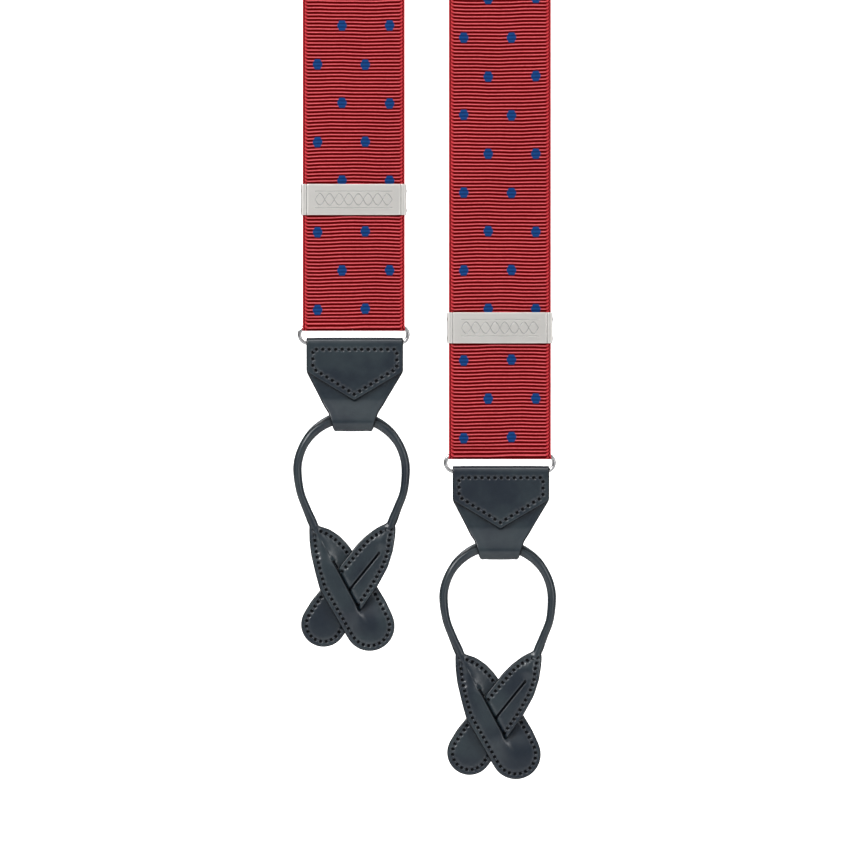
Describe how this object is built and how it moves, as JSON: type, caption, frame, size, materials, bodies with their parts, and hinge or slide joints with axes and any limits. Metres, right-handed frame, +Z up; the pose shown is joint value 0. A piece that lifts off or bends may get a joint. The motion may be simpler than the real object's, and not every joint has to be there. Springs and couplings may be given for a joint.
{
  "type": "suspenders",
  "caption": "Button-on trouser suspenders with a Y back: dotted grosgrain ribbons, sliding adjusters, wire rings and rolled leather loops with buttonholed leaves.",
  "frame": {"origin": "axis of the rounded support under the right ribbon's bend, midway between the two ribbons", "axes": "+Z up along the hanging ribbons, -Y towards the wearer's front, +X to the right seen from the front"},
  "size_m": [0.0986, 0.0657, 0.7744],
  "materials": {
    "dotted_grosgrain": "ribbed crimson weave with navy dots",
    "satin_metal": "satin silver plate",
    "plated_steel": "plain nickel plate",
    "polished_wire": "polished",
    "navy_leather": "smooth satin with painted edges",
    "leather_lining": "matt",
    "navy_thread": "waxed thread",
    "navy_elastic": "ribbed elastic weave"
  },
  "bodies": {
    "braces": {"left_ribbon": "dotted_grosgrain", "left_ribbon_lower": "dotted_grosgrain", "right_ribbon": "dotted_grosgrain", "right_ribbon_lower": "dotted_grosgrain", "back_patch": "navy_leather", "back_patch_lining": "leather_lining", "back_patch_stitching": "navy_thread", "rear_elastic": "navy_elastic"},
    "left_adjuster": {"left_adjuster_cover": "satin_metal", "left_adjuster_pin": "plated_steel", "left_adjuster_bar": "plated_steel", "left_tail_hem": "dotted_grosgrain"},
    "left_lever": {"left_adjuster_lever": "plated_steel"},
    "left_fold": {"left_ribbon_fold": "dotted_grosgrain", "left_ribbon_tail": "dotted_grosgrain"},
    "left_wire_ring": {"left_ring": "polished_wire"},
    "left_leather_tab": {"left_tab": "navy_leather", "left_tab_stitching": "navy_thread"},
    "left_loop": {"left_loop_cord": "navy_leather", "left_leaf_a": "navy_leather", "left_leaf_b": "navy_leather", "left_leaf_stitching": "navy_thread"},
    "right_adjuster": {"right_adjuster_cover": "satin_metal", "right_adjuster_pin": "plated_steel", "right_adjuster_bar": "plated_steel", "right_tail_hem": "dotted_grosgrain"},
    "right_lever": {"right_adjuster_lever": "plated_steel"},
    "right_fold": {"right_ribbon_fold": "dotted_grosgrain", "right_ribbon_tail": "dotted_grosgrain"},
    "right_wire_ring": {"right_ring": "polished_wire"},
    "right_leather_tab": {"right_tab": "navy_leather", "right_tab_stitching": "navy_thread"},
    "right_loop": {"right_loop_cord": "navy_leather", "right_leaf_a": "navy_leather", "right_leaf_b": "navy_leather", "right_leaf_stitching": "navy_thread"},
    "rear_end": {"rear_tab": "navy_leather", "rear_tab_stitching": "navy_thread", "rear_elastic_end": "navy_elastic"},
    "rear_loop": {"rear_loop_cord": "navy_leather", "rear_leaf_a": "navy_leather", "rear_leaf_b": "navy_leather", "rear_leaf_stitching": "navy_thread"}
  },
  "joints": [
    {"name": "left_adjuster_slide", "type": "slide", "parent": "braces", "child": "left_adjuster", "axis": [0, 0, 1], "range_m": [-0.02, 0.12], "deforming": ["left_ribbon_lower"]},
    {"name": "left_lever_flip", "type": "hinge", "parent": "left_adjuster", "child": "left_lever", "pos_m": [-0.02735, -0.0272, -0.4995], "axis": [1, 0, 0], "range_deg": [0, 100]},
    {"name": "left_ring_travel", "type": "slide", "parent": "left_adjuster", "child": "left_fold", "axis": [0, 0, 1], "range_m": [-0.06, 0.01], "deforming": ["left_ribbon_tail"]},
    {"name": "left_ring_swing", "type": "hinge", "parent": "left_fold", "child": "left_wire_ring", "pos_m": [-0.02735, -0.02865, -0.55005], "axis": [1, 0, 0], "range_deg": [-45, 45]},
    {"name": "left_tab_swing", "type": "hinge", "parent": "left_wire_ring", "child": "left_leather_tab", "pos_m": [-0.02735, -0.02865, -0.55655], "axis": [1, 0, 0], "range_deg": [-60, 60]},
    {"name": "left_loop_slide", "type": "hinge", "parent": "left_leather_tab", "child": "left_loop", "pos_m": [-0.02815, -0.02865, -0.6042], "axis": [0, 1, 0], "range_deg": [-8, 20]},
    {"name": "right_adjuster_slide", "type": "slide", "parent": "braces", "child": "right_adjuster", "axis": [0, 0, 1], "range_m": [-0.02, 0.12], "deforming": ["right_ribbon_lower"]},
    {"name": "right_lever_flip", "type": "hinge", "parent": "right_adjuster", "child": "right_lever", "pos_m": [0.02735, -0.0272, -0.5475], "axis": [1, 0, 0], "range_deg": [0, 100]},
    {"name": "right_ring_travel", "type": "slide", "parent": "right_adjuster", "child": "right_fold", "axis": [0, 0, 1], "range_m": [-0.06, 0.01], "deforming": ["right_ribbon_tail"]},
    {"name": "right_ring_swing", "type": "hinge", "parent": "right_fold", "child": "right_wire_ring", "pos_m": [0.02735, -0.02865, -0.59805], "axis": [1, 0, 0], "range_deg": [-45, 45]},
    {"name": "right_tab_swing", "type": "hinge", "parent": "right_wire_ring", "child": "right_leather_tab", "pos_m": [0.02735, -0.02865, -0.60455], "axis": [1, 0, 0], "range_deg": [-60, 60]},
    {"name": "right_loop_slide", "type": "hinge", "parent": "right_leather_tab", "child": "right_loop", "pos_m": [0.02655, -0.02865, -0.6522], "axis": [0, 1, 0], "range_deg": [-20, 8]},
    {"name": "rear_elastic_stretch", "type": "slide", "parent": "braces", "child": "rear_end", "axis": [0, 0, -1], "range_m": [0, 0.06], "stiffness_N_per_m": 150, "springref_m": -0.003, "deforming": ["rear_elastic"]},
    {"name": "rear_loop_slide", "type": "hinge", "parent": "rear_end", "child": "rear_loop", "pos_m": [0.00185, 0.03, -0.3092], "axis": [0, 1, 0], "range_deg": [-20, 20]}
  ],
  "couplings": [
    {"joint": "left_ring_travel", "follows": "left_adjuster_slide", "ratio": -0.5},
    {"joint": "right_ring_travel", "follows": "right_adjuster_slide", "ratio": -0.5}
  ]
}
